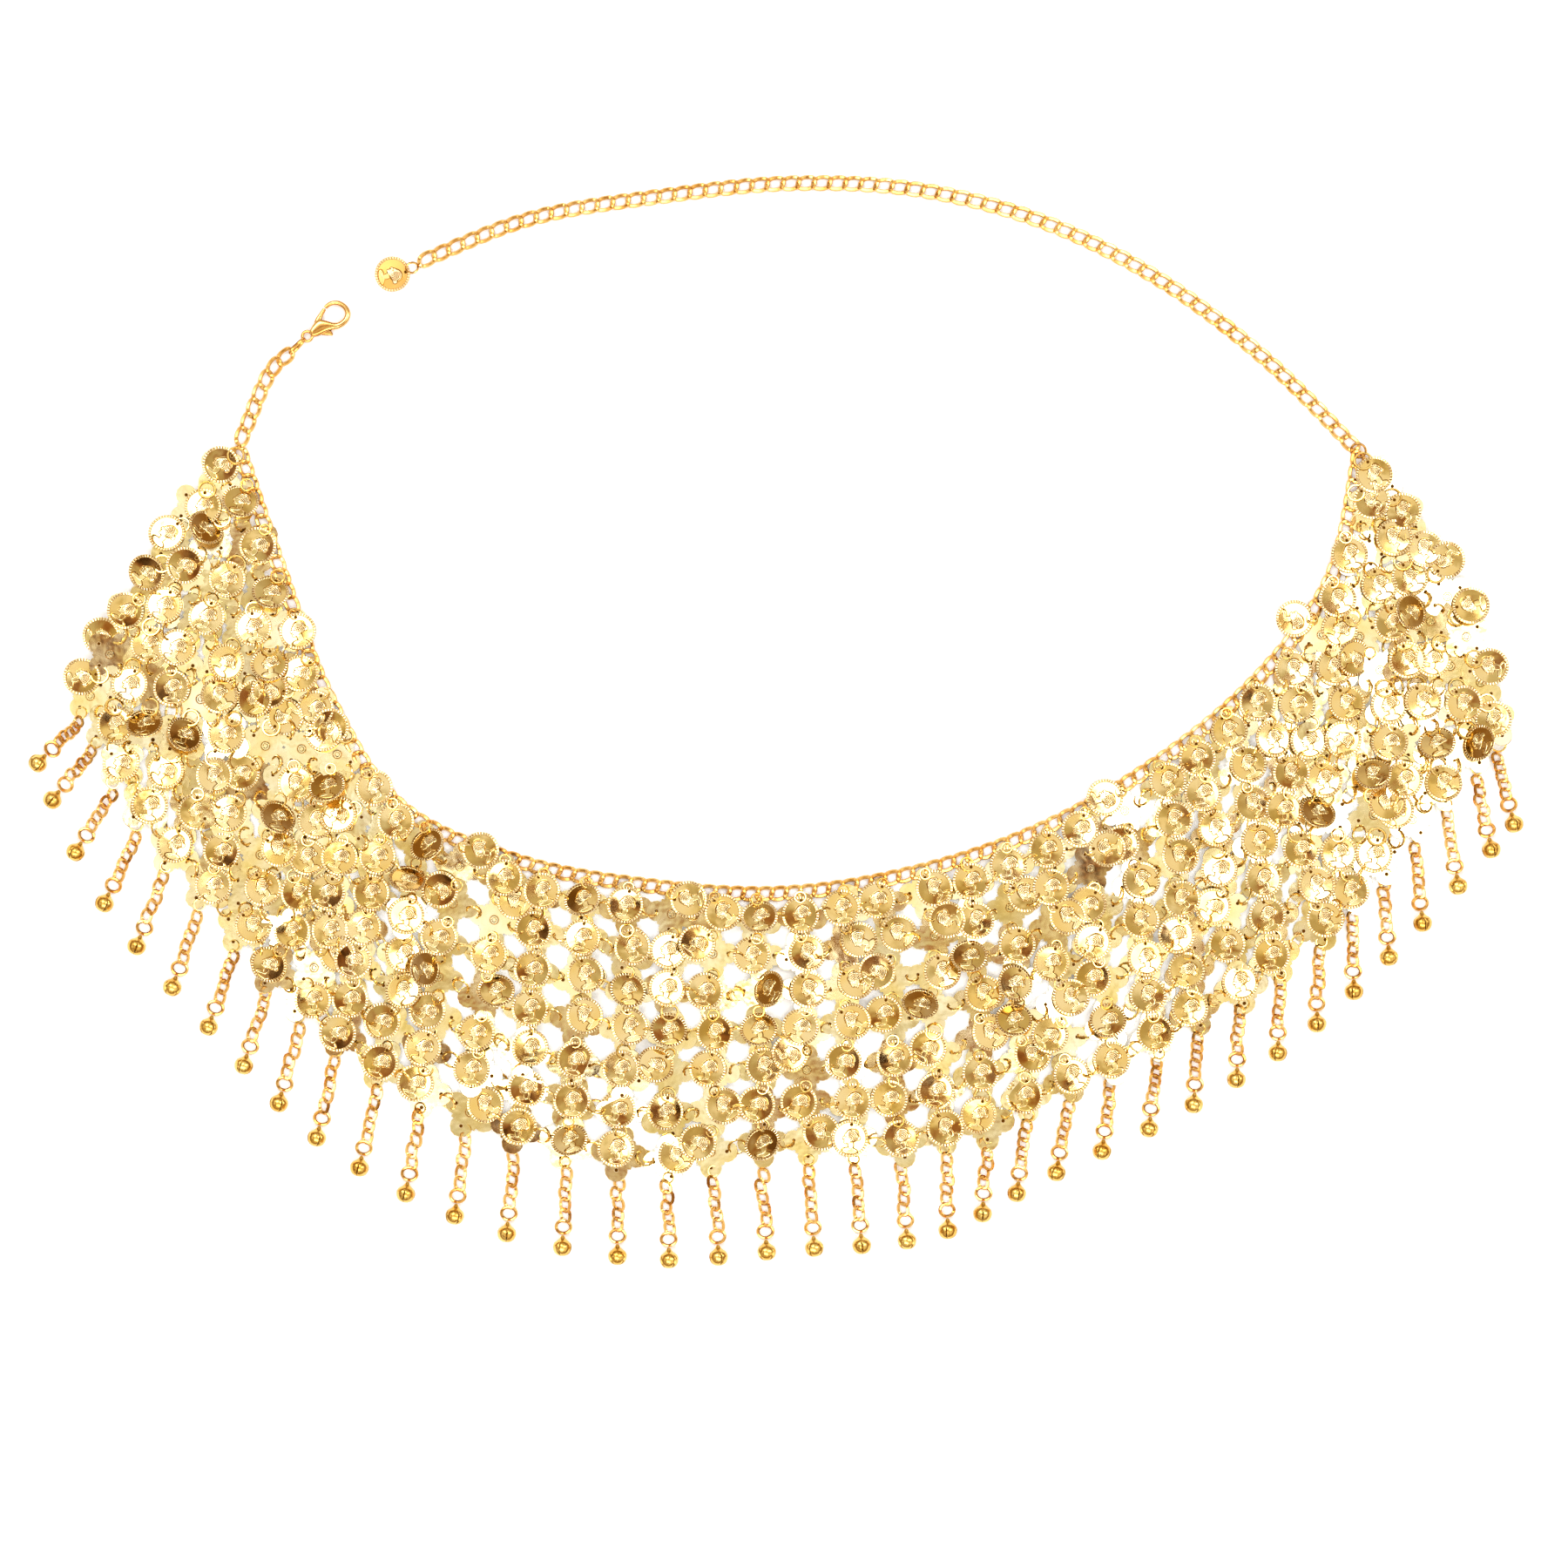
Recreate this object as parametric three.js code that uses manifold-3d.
// A coin waist chain laid flat, in millimetres. +X runs along its longest extent, +Y towards the
// extender chain, +Z up from the surface it lies on. The origin is the middle of its box, on that surface.
import * as THREE from 'three';
import * as BufferGeometryUtils from 'three/addons/utils/BufferGeometryUtils.js';
import ManifoldModule from 'manifold-3d';

const wasm = await ManifoldModule();
wasm.setup();

const SEAM = 0.3;
// The net's upper edge is straight across each cell while the chain bows, so this seam is narrower.
const CHAIN_SEAM = 0.24;
const COLUMNS = 38;
const ROWS = 7;

// A row for each of 13 sections at even steps along the net: where its column of stars leaves the
// chain and ends at the hem, how far the column bows to the right, and how its bell drop lies.
const NET_SECTIONS = [
  { chainX: -209.4, chainY: 106.7, hemX: -270.2, hemY: 2.0, bow: -4.5, lean: -44, drop: 25.1 },
  { chainX: -193.0, chainY: 58.0, hemX: -247.8, hemY: -43.2, bow: -3.0, lean: -24, drop: 31.7 },
  { chainX: -174.8, chainY: 9.8, hemX: -208.7, hemY: -90.5, bow: -1.5, lean: -18, drop: 32.4 },
  { chainX: -146.8, chainY: -32.8, hemX: -167.3, hemY: -132.1, bow: 0, lean: -13, drop: 33.9 },
  { chainX: -100.6, chainY: -54.3, hemX: -114.5, hemY: -161.7, bow: 0, lean: -7, drop: 33.5 },
  { chainX: -50.0, chainY: -63.8, hemX: -53.7, hemY: -177.6, bow: 0, lean: 1, drop: 31.5 },
  { chainX: 1.3, chainY: -66.9, hemX: 3.4, hemY: -172.2, bow: 0, lean: 4, drop: 33.5 },
  { chainX: 52.0, chainY: -59.3, hemX: 59.1, hemY: -169.0, bow: 0, lean: 3, drop: 31.2 },
  { chainX: 100.9, chainY: -43.1, hemX: 109.0, hemY: -149.2, bow: 0, lean: -10, drop: 29.5 },
  { chainX: 145.8, chainY: -18.1, hemX: 161.2, hemY: -122.6, bow: 0, lean: -5, drop: 29.0 },
  { chainX: 185.8, chainY: 14.3, hemX: 209.0, hemY: -88.3, bow: 2.0, lean: -1, drop: 31.3 },
  { chainX: 216.5, chainY: 55.5, hemX: 248.2, hemY: -47.1, bow: 5.0, lean: 5, drop: 32.5 },
  { chainX: 227.7, chainY: 105.0, hemX: 281.1, hemY: -10.9, bow: 8.0, lean: 13, drop: 29.6 },
];
// Where the first and last stars of a column lie, as a share of the way from chain to hem.
const FIRST_STAR_AT = 0.086;
const LAST_STAR_AT = 0.929;

// The middle line of the extender chain, from the end tag to the waist chain.
const EXTENDER_LINE = [
  { x: -138.9, y: 179.5 },
  { x: -95.2, y: 196.6 },
  { x: -45.0, y: 205.1 },
  { x: 5.7, y: 210.2 },
  { x: 56.5, y: 207.6 },
  { x: 105.7, y: 194.7 },
  { x: 151.1, y: 171.8 },
  { x: 191.7, y: 141.1 },
  { x: 226.2, y: 106.7 },
];
// The middle line of the short chain from the net to the clasp.
const CLASP_LINE = [
  { x: -209.4, y: 108.5 },
  { x: -204.9, y: 119.3 },
  { x: -200.9, y: 129.5 },
  { x: -195.7, y: 139.1 },
  { x: -188.9, y: 144.2 },
];

const LINK_HALF_WIDTH = 2.95;
const LINK_END_HALF_WIDTH = 2.05;
const LINK_WINDOW = { length: 4.4, width: 4.1 };
const CHAIN_THICKNESS = 2.2;
const LINKS_PER_COLUMN = 3;
const EXTENDER_LINKS = 66;
// How finely a curve is measured when links are spaced along it.
const STEPS_PER_LINK = 40;
const CLASP_LINKS = 7;
// The link that stands on edge between the short chain and the clasp's eye.
const EDGE_LINK_HALF_WIDTH = 0.8;

// One cell of the net stands for a star plate and the coin on it: thin at its upper edge and thick
// at its lower one, where the coin lies on the plate and ring below it.
const CELL = { reach: 6.4, neckHalf: 2.3, seamHalf: 2.8, upperHeight: 1.5, lowerHeight: 2.6 };

const STRAND = { rootHalf: 1.6, endHalf: 1.2, lift: 0.3, thickness: 1.6, endShort: 1.4 };
const BELL = { radius: 3.75, sides: 8, rings: 4 };

const CLASP = {
  eyeX: -182.8, eyeY: 150.5, turn: 27.3, thickness: 3.4,
  eyeOuter: 2.5, eyeInner: 1.35, eyeThickness: 1.6,
  slotWidth: 1.9, slotFrom: 2.9, slotTo: 10.8, slotHalfSpan: 7,
  pivotX: 4.9, pivotY: 1.3, pinRadius: 0.55, pinLength: 3.2, pinSides: 8,
  boreRadius: 0.85, triggerThickness: 1.3,
};
// Outlines of the clasp in its own frame: the eye at the origin, the loop ahead along +X and the
// trigger on the +Y side. Each step is a line, or a curve pulled towards one or two points. The hook's
// run round the loop outside, then back inside it.
const HOOK_OUTLINE = {
  start: { x: 1.7, y: -1.1 },
  steps: [
    { x: 3.2, y: -1.6 },
    { x: 12.6, y: -3.0, pulls: [{ x: 9.5, y: -2.1 }] },
    { x: 19.2, y: 2.4, pulls: [{ x: 17.2, y: -3.6 }, { x: 19.6, y: -0.9 }] },
    { x: 11.0, y: 7.3, pulls: [{ x: 18.7, y: 7.0 }, { x: 14.6, y: 9.0 }] },
    { x: 11.6, y: 6.0 },
    { x: 17.5, y: 2.4, pulls: [{ x: 14.6, y: 7.0 }, { x: 17.2, y: 5.4 }] },
    { x: 13.0, y: -1.2, pulls: [{ x: 17.7, y: -0.4 }, { x: 15.6, y: -1.5 }] },
    { x: 8.2, y: 2.4, pulls: [{ x: 10.2, y: -0.6 }] },
    { x: 6.6, y: 4.3 },
    { x: 1.7, y: 1.3 },
  ],
};
// The gate runs to the hook's tip, and the thumb tab comes out past the body's other side.
const TRIGGER_OUTLINE = {
  start: { x: 10.6, y: 6.95 },
  steps: [
    { x: 4.1, y: 2.7, pulls: [{ x: 7.4, y: 5.2 }] },
    { x: 4.0, y: 0.0, pulls: [{ x: 3.2, y: 1.4 }] },
    { x: 4.4, y: -2.3, pulls: [{ x: 4.3, y: -1.6 }] },
    { x: 8.5, y: -4.7, pulls: [{ x: 6.8, y: -2.9 }] },
    { x: 9.2, y: -4.5 },
    { x: 8.4, y: -2.4, pulls: [{ x: 9.1, y: -3.4 }] },
    { x: 6.2, y: -0.4 },
    { x: 9.0, y: 4.3, pulls: [{ x: 7.0, y: 2.6 }] },
    { x: 11.25, y: 5.85 },
  ],
};
const TAG = { x: -149.6, y: 174.8, radius: 6.9, thickness: 1.0, holeX: 4.6, holeY: 0.7, holeRadius: 1.1 };
const END_RING = { x: -140.9, y: 177.9, outer: 1.95, inner: 0.95, thickness: 1.6 };

// Flat sides along each curve of an outline.
const CURVE_STEPS = { tag: 10, ring: 6, eye: 5, clasp: 4 };

const curbGold = new THREE.MeshStandardMaterial({ color: 0xe8b04a, metalness: 1, roughness: 0.22 });
const coinGold = new THREE.MeshStandardMaterial({ color: 0xeec05c, metalness: 1, roughness: 0.18 });
const bellGold = new THREE.MeshStandardMaterial({ color: 0xe6b450, metalness: 1, roughness: 0.15 });
const claspGold = new THREE.MeshStandardMaterial({ color: 0xe8b04a, metalness: 1, roughness: 0.12 });

const waistChain = new THREE.Group();

function addMesh(name, geometry, material, parent = waistChain) {
  const mesh = new THREE.Mesh(geometry, material);
  mesh.name = name;
  parent.add(mesh);
  return mesh;
}

function toManifold(geometry) {
  const bare = geometry.clone();
  bare.deleteAttribute('normal');
  bare.deleteAttribute('uv');
  const merged = BufferGeometryUtils.mergeVertices(bare, 1e-4);
  return new wasm.Manifold(new wasm.Mesh({
    numProp: 3,
    vertProperties: new Float32Array(merged.attributes.position.array),
    triVerts: new Uint32Array(merged.index.array),
  }));
}

function fromManifold(solid) {
  const { vertProperties, triVerts } = solid.getMesh();
  const geometry = new THREE.BufferGeometry();
  geometry.setAttribute('position', new THREE.BufferAttribute(vertProperties, 3));
  geometry.setIndex(new THREE.BufferAttribute(triVerts, 1));
  return geometry;
}

// A plate between a flat underside and a top whose height is given for each outline point.
function slab(outline, heights) {
  const count = outline.length;
  const caps = THREE.ShapeUtils.triangulateShape(outline, []);
  const positions = [];
  outline.forEach((p) => positions.push(p.x, p.y, 0));
  outline.forEach((p, i) => positions.push(p.x, p.y, heights[i]));
  const index = [];
  caps.forEach(([a, b, c]) => {
    index.push(c, b, a);
    index.push(a + count, b + count, c + count);
  });
  for (let i = 0; i < count; i += 1) {
    const next = (i + 1) % count;
    index.push(i, next, next + count);
    index.push(i, next + count, i + count);
  }
  const geometry = new THREE.BufferGeometry();
  geometry.setAttribute('position', new THREE.Float32BufferAttribute(positions, 3));
  geometry.setIndex(index);
  return geometry;
}

function plate(shape, thickness, base = 0, curveSegments = 1) {
  const geometry = new THREE.ExtrudeGeometry(shape, {
    depth: thickness, bevelEnabled: false, curveSegments,
  });
  return geometry.translate(0, 0, base);
}

const vector = (point) => new THREE.Vector2(point.x, point.y);
const turned = (v) => new THREE.Vector2(-v.y, v.x);
const moved = (point, direction, distance) => point.clone().addScaledVector(direction, distance);

// Values along the net, between the sections of the table.
const columnShare = (column) => column / (COLUMNS - 1);
const sectionLine = (x, y) => new THREE.SplineCurve(
  NET_SECTIONS.map((section) => new THREE.Vector2(section[x], section[y])),
);
const chainLine = sectionLine('chainX', 'chainY');
const hemLine = sectionLine('hemX', 'hemY');
const bowLine = sectionLine('bow', 'bow');
const dropLine = sectionLine('lean', 'drop');

function starCentre(row, column) {
  const share = columnShare(column);
  const top = chainLine.getPoint(share);
  const down = hemLine.getPoint(share).sub(top);
  const side = turned(down).normalize();
  const t = FIRST_STAR_AT + (row * (LAST_STAR_AT - FIRST_STAR_AT)) / (ROWS - 1);
  return top.addScaledVector(down, t).addScaledVector(side, bowLine.getPoint(share).x * 4 * t * (1 - t));
}

// The seam above a row at one column: its middle, its direction to the right, and the way down.
function seamAbove(row, column) {
  if (row === 0 || row === ROWS) {
    const line = row === 0 ? chainLine : hemLine;
    const share = columnShare(column);
    const along = line.getTangent(share);
    const down = turned(along).negate();
    const clear = row === 0 ? LINK_HALF_WIDTH + CHAIN_SEAM : 0;
    return { middle: moved(line.getPoint(share), down, clear), along, down };
  }
  const upper = starCentre(row - 1, column);
  const lower = starCentre(row, column);
  const down = lower.clone().sub(upper).normalize();
  return { middle: upper.lerp(lower, 0.5), along: turned(down), down };
}

// One row of the net: coin-sized cells joined by necks where the rings link the stars.
function netRow(row) {
  const upperSide = [];
  const lowerSide = [];
  for (let column = 0; column < COLUMNS; column += 1) {
    const centre = starCentre(row, column);
    const before = starCentre(row, Math.max(column - 1, 0));
    const after = starCentre(row, Math.min(column + 1, COLUMNS - 1));
    const right = after.sub(before).normalize();
    const up = turned(right);
    const corner = (x, y) => moved(moved(centre, right, x), up, y);
    const top = seamAbove(row, column);
    const bottom = seamAbove(row + 1, column);
    const topMiddle = moved(top.middle, top.down, SEAM / 2);
    const bottomMiddle = moved(bottom.middle, bottom.down, -SEAM / 2);
    upperSide.push(
      corner(-CELL.reach, CELL.neckHalf),
      moved(topMiddle, top.along, -CELL.seamHalf),
      moved(topMiddle, top.along, CELL.seamHalf),
      corner(CELL.reach, CELL.neckHalf),
    );
    lowerSide.push(
      corner(-CELL.reach, -CELL.neckHalf),
      moved(bottomMiddle, bottom.along, -CELL.seamHalf),
      moved(bottomMiddle, bottom.along, CELL.seamHalf),
      corner(CELL.reach, -CELL.neckHalf),
    );
  }
  const outline = [...lowerSide, ...upperSide.reverse()];
  const heights = outline.map((_, i) => (i < lowerSide.length ? CELL.lowerHeight : CELL.upperHeight));
  return slab(outline, heights);
}

// Links side by side along a curve as one scalloped band, with each link's window if asked for.
// The tail is a link that stands on edge at the band's far end, and ends at a point.
function linkBand(curve, links, { windows = false, tailTo = null } = {}) {
  curve.arcLengthDivisions = STEPS_PER_LINK * links;
  const stations = curve.getSpacedPoints(2 * links);
  const frames = stations.map((point, i) => {
    const before = stations[Math.max(i - 1, 0)];
    const after = stations[Math.min(i + 1, stations.length - 1)];
    const along = after.clone().sub(before).normalize();
    return { point, along, left: turned(along) };
  });
  const halfWidth = (i) => (i % 2 === 0 ? LINK_END_HALF_WIDTH : LINK_HALF_WIDTH);
  const rightSide = frames.map((f, i) => moved(f.point, f.left, -halfWidth(i)));
  const leftSide = frames.map((f, i) => moved(f.point, f.left, halfWidth(i)));
  const tail = [];
  if (tailTo) {
    const from = stations[stations.length - 1];
    const across = turned(tailTo.clone().sub(from).normalize());
    tail.push(
      moved(from, across, -EDGE_LINK_HALF_WIDTH),
      moved(tailTo, across, -EDGE_LINK_HALF_WIDTH),
      moved(tailTo, across, EDGE_LINK_HALF_WIDTH),
      moved(from, across, EDGE_LINK_HALF_WIDTH),
    );
  }
  const shape = new THREE.Shape([...rightSide, ...tail, ...leftSide.reverse()]);
  if (windows) {
    frames.forEach((f, i) => {
      if (i % 2 === 0) {
        return;
      }
      shape.holes.push(new THREE.Path([
        moved(f.point, f.along, LINK_WINDOW.length / 2),
        moved(f.point, f.left, -LINK_WINDOW.width / 2),
        moved(f.point, f.along, -LINK_WINDOW.length / 2),
        moved(f.point, f.left, LINK_WINDOW.width / 2),
      ]));
    });
  }
  return plate(shape, CHAIN_THICKNESS);
}

// A four-sided strand from the hem to its bell, fused into one piece.
function bellDrop(column) {
  const share = columnShare(column);
  const root = seamAbove(ROWS, column);
  const hang = dropLine.getPoint(share);
  const lean = THREE.MathUtils.degToRad(hang.x);
  const down = new THREE.Vector2(Math.sin(lean), -Math.cos(lean));
  const across = turned(down);
  const rootMiddle = moved(root.middle, root.down, SEAM / 2);
  const bellMiddle = moved(root.middle, down, hang.y);
  const end = moved(bellMiddle, down, -STRAND.endShort);
  const strand = plate(new THREE.Shape([
    moved(rootMiddle, root.along, -STRAND.rootHalf),
    moved(end, across, -STRAND.endHalf),
    moved(end, across, STRAND.endHalf),
    moved(rootMiddle, root.along, STRAND.rootHalf),
  ]), STRAND.thickness, STRAND.lift);
  const bell = new THREE.SphereGeometry(BELL.radius, BELL.sides, BELL.rings);
  bell.rotateZ(lean);
  bell.translate(bellMiddle.x, bellMiddle.y, STRAND.lift + BELL.radius);
  return fromManifold(toManifold(strand).add(toManifold(bell)));
}

function ringShape(outer, inner) {
  const shape = new THREE.Shape();
  shape.absarc(0, 0, outer, 0, 2 * Math.PI, false);
  const hole = new THREE.Path();
  hole.absarc(0, 0, inner, 0, 2 * Math.PI, true);
  shape.holes.push(hole);
  return shape;
}

// A closed shape from a start and its steps, as the outline tables give them.
function bentShape({ start, steps }) {
  const shape = new THREE.Shape().moveTo(start.x, start.y);
  steps.forEach(({ x, y, pulls = [] }) => {
    const [first, second] = pulls;
    if (second) {
      shape.bezierCurveTo(first.x, first.y, second.x, second.y, x, y);
    } else if (first) {
      shape.quadraticCurveTo(first.x, first.y, x, y);
    } else {
      shape.lineTo(x, y);
    }
  });
  shape.closePath();
  return shape;
}

function triggerShape() {
  const trigger = bentShape(TRIGGER_OUTLINE);
  const bore = new THREE.Path();
  bore.absarc(CLASP.pivotX, CLASP.pivotY, CLASP.boreRadius, 0, 2 * Math.PI, true);
  trigger.holes.push(bore);
  return trigger;
}

function claspBody() {
  const hook = toManifold(plate(bentShape(HOOK_OUTLINE), CLASP.thickness, 0, CURVE_STEPS.clasp));
  const eyeBase = (CLASP.thickness - CLASP.eyeThickness) / 2;
  const eyeShape = ringShape(CLASP.eyeOuter, CLASP.eyeInner);
  const eye = toManifold(plate(eyeShape, CLASP.eyeThickness, eyeBase, CURVE_STEPS.eye));
  const slotLength = CLASP.slotTo - CLASP.slotFrom;
  const slot = new THREE.BoxGeometry(slotLength, 2 * CLASP.slotHalfSpan, CLASP.slotWidth);
  slot.translate(CLASP.slotFrom + slotLength / 2, 0, CLASP.thickness / 2);
  const pin = new THREE.CylinderGeometry(CLASP.pinRadius, CLASP.pinRadius, CLASP.pinLength, CLASP.pinSides);
  pin.rotateX(Math.PI / 2);
  pin.translate(CLASP.pivotX, CLASP.pivotY, CLASP.thickness / 2);
  return fromManifold(hook.add(eye).subtract(toManifold(slot)).add(toManifold(pin)));
}

for (let row = 0; row < ROWS; row += 1) {
  addMesh(`net_row_${row + 1}`, netRow(row), coinGold);
}
addMesh('waist_chain', linkBand(chainLine, LINKS_PER_COLUMN * (COLUMNS - 1)), curbGold);
const extenderCurve = new THREE.SplineCurve(EXTENDER_LINE.map(vector));
addMesh('extender_chain', linkBand(extenderCurve, EXTENDER_LINKS, { windows: true }), curbGold);

const claspEye = new THREE.Vector2(CLASP.eyeX, CLASP.eyeY);
const claspCurve = new THREE.SplineCurve(CLASP_LINE.map(vector));
const towardsChain = vector(CLASP_LINE.at(-1)).sub(claspEye).normalize();
const tailTo = moved(claspEye, towardsChain, CLASP.eyeOuter + SEAM);
addMesh('clasp_chain', linkBand(claspCurve, CLASP_LINKS, { windows: true, tailTo }), curbGold);

for (let column = 0; column < COLUMNS; column += 1) {
  addMesh(`bell_drop_${String(column + 1).padStart(2, '0')}`, bellDrop(column), bellGold);
}

const clasp = new THREE.Group();
clasp.position.set(CLASP.eyeX, CLASP.eyeY, 0);
clasp.rotation.z = THREE.MathUtils.degToRad(CLASP.turn);
waistChain.add(clasp);
addMesh('clasp_body', claspBody(), claspGold, clasp);
const triggerBase = (CLASP.thickness - CLASP.triggerThickness) / 2;
const trigger = plate(triggerShape(), CLASP.triggerThickness, triggerBase, CURVE_STEPS.clasp);
addMesh('clasp_trigger', trigger, claspGold, clasp);

const tagShape = new THREE.Shape();
tagShape.absarc(0, 0, TAG.radius, 0, 2 * Math.PI, false);
const tagHole = new THREE.Path();
tagHole.absarc(TAG.holeX, TAG.holeY, TAG.holeRadius, 0, 2 * Math.PI, true);
tagShape.holes.push(tagHole);
const endCoin = addMesh('end_coin', plate(tagShape, TAG.thickness, 0, CURVE_STEPS.tag), coinGold);
endCoin.position.set(TAG.x, TAG.y, 0);
const endRing = addMesh(
  'end_ring', plate(ringShape(END_RING.outer, END_RING.inner), END_RING.thickness, 0, CURVE_STEPS.ring), curbGold,
);
endRing.position.set(END_RING.x, END_RING.y, 0);

export default waistChain;
